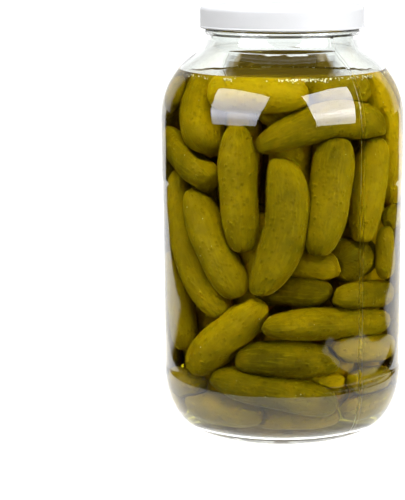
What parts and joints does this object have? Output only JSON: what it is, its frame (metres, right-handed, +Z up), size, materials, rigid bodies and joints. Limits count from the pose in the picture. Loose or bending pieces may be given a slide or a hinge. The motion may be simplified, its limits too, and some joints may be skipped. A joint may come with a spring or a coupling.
{
  "type": "glass jar of gherkins",
  "caption": "Large round clear glass jar with a rounded shoulder, full of whole green gherkins in brine and shut with a white metal twist-off lid.",
  "frame": {"origin": "middle of the circle that the jar stands on", "axes": "+Z up along the jar's axis, -Y towards the front of the jar, +X to the viewer's right"},
  "size_m": [0.152, 0.152, 0.2655],
  "materials": {
    "clear_glass": "smooth clear soda-lime glass",
    "white_lacquer": "glossy white lacquer on tinplate",
    "gherkin_green": "wet olive-green gherkin skin"
  },
  "bodies": {
    "root": {"glass_jar": "clear_glass", "lid": "white_lacquer", "pickles": "gherkin_green"}
  },
  "joints": []
}
